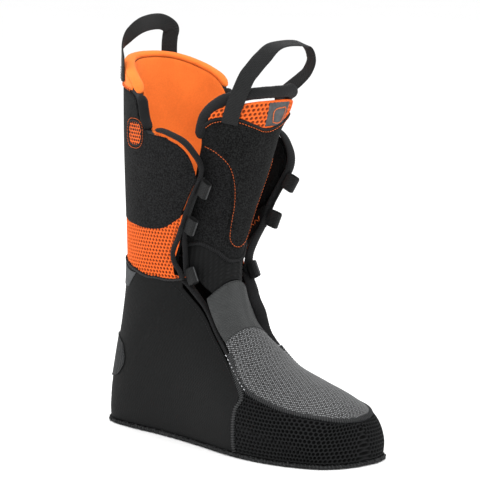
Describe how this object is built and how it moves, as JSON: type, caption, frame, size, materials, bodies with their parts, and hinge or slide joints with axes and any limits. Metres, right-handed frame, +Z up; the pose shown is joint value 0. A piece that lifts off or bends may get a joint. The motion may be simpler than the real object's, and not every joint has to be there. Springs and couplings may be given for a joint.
{
  "type": "ski boot liner",
  "caption": "Soft foam inner boot for a ski boot: padded foot and cuff, front flaps with lace loops, tall tongue and webbing pull loops.",
  "frame": {"origin": "on the flat sole, right under the axis that the cuff flexes about", "axes": "+X towards the toe, +Y towards the inner side of the foot, +Z up the leg"},
  "size_m": [0.2963, 0.1255, 0.3605],
  "materials": {
    "sole_felt": "thin dense black felt and rubber bottom, matt",
    "thread_black": "overlocked black thread",
    "board": "stiff pressed insole board",
    "footbed_cloth": "charcoal brushed cloth over foam",
    "foam": "closed-cell heat-mouldable foam",
    "lining_black": "black brushed lining",
    "toe_mesh": "black spacer mesh with hexagonal cells 4 mm apart",
    "jacquard": "grey jacquard with small light dashes",
    "neoprene": "dark charcoal neoprene with a fine wavy emboss",
    "grip_rubber": "perforated grey rubber film",
    "grey_patch": "grey woven patch",
    "elastic": "satin elastic",
    "binding_tape": "black knitted edge tape with a row of stitches",
    "webbing": "black twill webbing",
    "orange_mesh": "orange spacer mesh with hexagonal dimples 3.6 mm apart",
    "orange_lining": "soft brushed orange lining",
    "felt": "dense black felt",
    "shield_cloth": "ribbed black cloth with a smooth face",
    "flex_fabric": "ribbed stretch panel",
    "label_grey": "grey rubberised label"
  },
  "bodies": {
    "foot": {"outsole": "sole_felt", "sole_seam": "thread_black", "insole_board": "board", "footbed": "footbed_cloth", "foot_foam": "foam", "foot_lining": "lining_black", "toe_cap": "toe_mesh", "toe_seam": "thread_black", "vamp": "jacquard", "outer_quarter": "neoprene", "inner_quarter": "neoprene", "heel_grip": "grip_rubber", "rear_patch": "grey_patch", "instep_strap": "elastic", "tongue_root": "neoprene", "outer_throat_binding": "binding_tape", "inner_throat_binding": "binding_tape", "outer_low_lace_loop": "webbing", "inner_low_lace_loop": "webbing", "ankle_mesh": "orange_mesh", "ankle_foam": "foam", "ankle_bindings": "binding_tape", "tongue_flex_panel": "flex_fabric"},
    "cuff": {"cuff_foam": "foam", "cuff_lining": "orange_lining", "cuff_rim": "orange_lining", "cuff_edge_bindings": "binding_tape", "cuff_rim_band": "orange_lining", "cuff_back_panel": "felt", "cuff_window_mesh": "orange_mesh", "rear_loop_anchors": "webbing", "rear_loop_bends": "webbing"},
    "outer_flap": {"outer_flap_foam": "foam", "outer_flap_lining": "lining_black", "outer_flap_panel": "felt", "outer_flap_binding": "binding_tape", "outer_lace_tape": "webbing", "outer_top_lace_loop": "webbing", "outer_mid_lace_loop": "webbing"},
    "inner_flap": {"inner_flap_foam": "foam", "inner_flap_lining": "lining_black", "inner_flap_panel": "felt", "inner_flap_binding": "binding_tape", "inner_lace_tape": "webbing", "inner_top_lace_loop": "webbing", "inner_mid_lace_loop": "webbing"},
    "tongue": {"tongue_foam": "foam", "tongue_lining": "lining_black", "tongue_cover": "felt", "tongue_shield": "shield_cloth", "tongue_mesh": "orange_mesh", "tongue_rim": "binding_tape", "tongue_label": "label_grey", "tongue_loop_anchors": "webbing", "tongue_loop_bends": "webbing"},
    "rear_loop": {"rear_loop": "webbing"},
    "tongue_loop": {"tongue_loop": "webbing"}
  },
  "joints": [
    {"name": "cuff_flex", "type": "hinge", "parent": "foot", "child": "cuff", "pos_m": [0, 0, 0.09], "axis": [0, 1, 0], "range_deg": [-8, 12], "stiffness_Nm_per_rad": 3, "deforming": ["ankle_mesh", "ankle_foam", "ankle_bindings", "tongue_flex_panel"]},
    {"name": "outer_flap_open", "type": "hinge", "parent": "cuff", "child": "outer_flap", "pos_m": [0.01176, -0.05334, 0.22391], "axis": [-0.1117, 0.0775, -0.9907], "range_deg": [0, 35], "stiffness_Nm_per_rad": 0.3},
    {"name": "inner_flap_open", "type": "hinge", "parent": "cuff", "child": "inner_flap", "pos_m": [0.01177, 0.055, 0.22388], "axis": [0.1112, 0.1036, 0.9884], "range_deg": [-24, 15], "stiffness_Nm_per_rad": 0.3},
    {"name": "tongue_tilt", "type": "hinge", "parent": "cuff", "child": "tongue", "pos_m": [0.058, 0, 0.15], "axis": [0, 1, 0], "range_deg": [0, 30], "stiffness_Nm_per_rad": 0.6, "deforming": ["tongue_flex_panel"]},
    {"name": "rear_loop_fold", "type": "hinge", "parent": "cuff", "child": "rear_loop", "pos_m": [-0.04188, -0.00771, 0.32801], "axis": [-0.2447, 0.9659, 0.0844], "range_deg": [-60, 60], "stiffness_Nm_per_rad": 0.05, "deforming": ["rear_loop_bends"]},
    {"name": "tongue_loop_fold", "type": "hinge", "parent": "tongue", "child": "tongue_loop", "pos_m": [0.096, 0.00069, 0.31222], "axis": [-0.0705, 0.9974, 0.0114], "range_deg": [-60, 60], "stiffness_Nm_per_rad": 0.05, "deforming": ["tongue_loop_bends"]}
  ]
}
